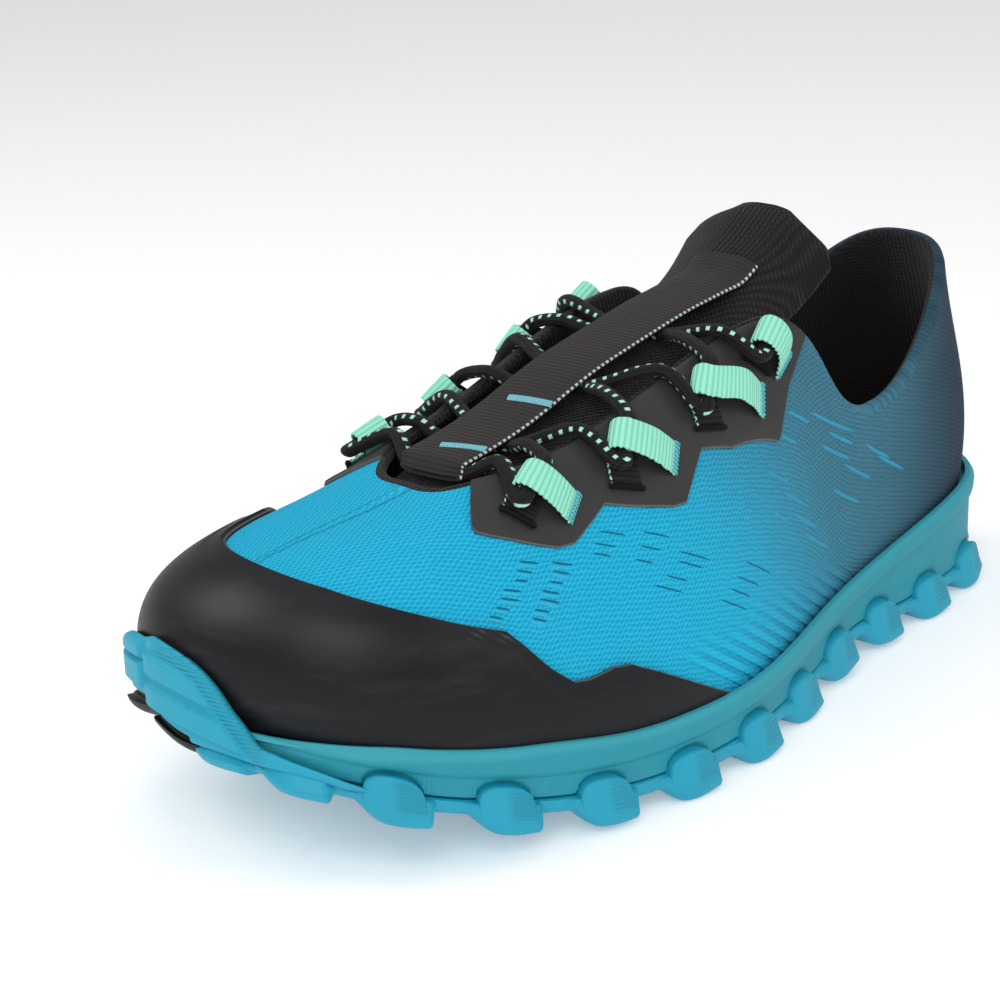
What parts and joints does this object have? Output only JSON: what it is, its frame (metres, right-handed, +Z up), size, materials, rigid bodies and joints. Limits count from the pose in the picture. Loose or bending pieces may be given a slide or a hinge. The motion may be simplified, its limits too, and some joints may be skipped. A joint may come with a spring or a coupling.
{
  "type": "hiking shoe",
  "caption": "Low-cut left hiking shoe with a knit upper, rubber toe bumper and rand, folded webbing lace loops and a deeply lugged rubber sole",
  "frame": {"origin": "On the floor under the middle of the shoe's bounding box", "axes": "+X points to the toe, +Y to the outer (lateral) side of this left shoe, +Z up"},
  "size_m": [0.2703, 0.1102, 0.114],
  "materials": {
    "foam": "moulded foam, matt",
    "rubber": "moulded rubber, satin",
    "lining": "lining cloth",
    "knit": "open knit mesh",
    "film": "bonded film, satin",
    "black_mesh": "padded mesh",
    "webbing": "ribbed webbing",
    "loop_webbing": "woven webbing",
    "cord": "braided lace"
  },
  "bodies": {
    "root": {"midsole": "foam", "outsole": "rubber", "insole": "lining", "upper": "knit", "toe_rand": "film", "tongue": "black_mesh", "tongue_strip": "webbing", "eyestay_lateral": "film", "eyestay_medial": "film", "lace": "cord", "loop_lateral_1": "loop_webbing", "loop_lateral_2": "loop_webbing", "loop_lateral_3": "loop_webbing", "loop_lateral_4": "loop_webbing", "loop_medial_1": "loop_webbing", "loop_medial_2": "loop_webbing", "loop_medial_3": "loop_webbing", "loop_medial_4": "loop_webbing"}
  },
  "joints": []
}
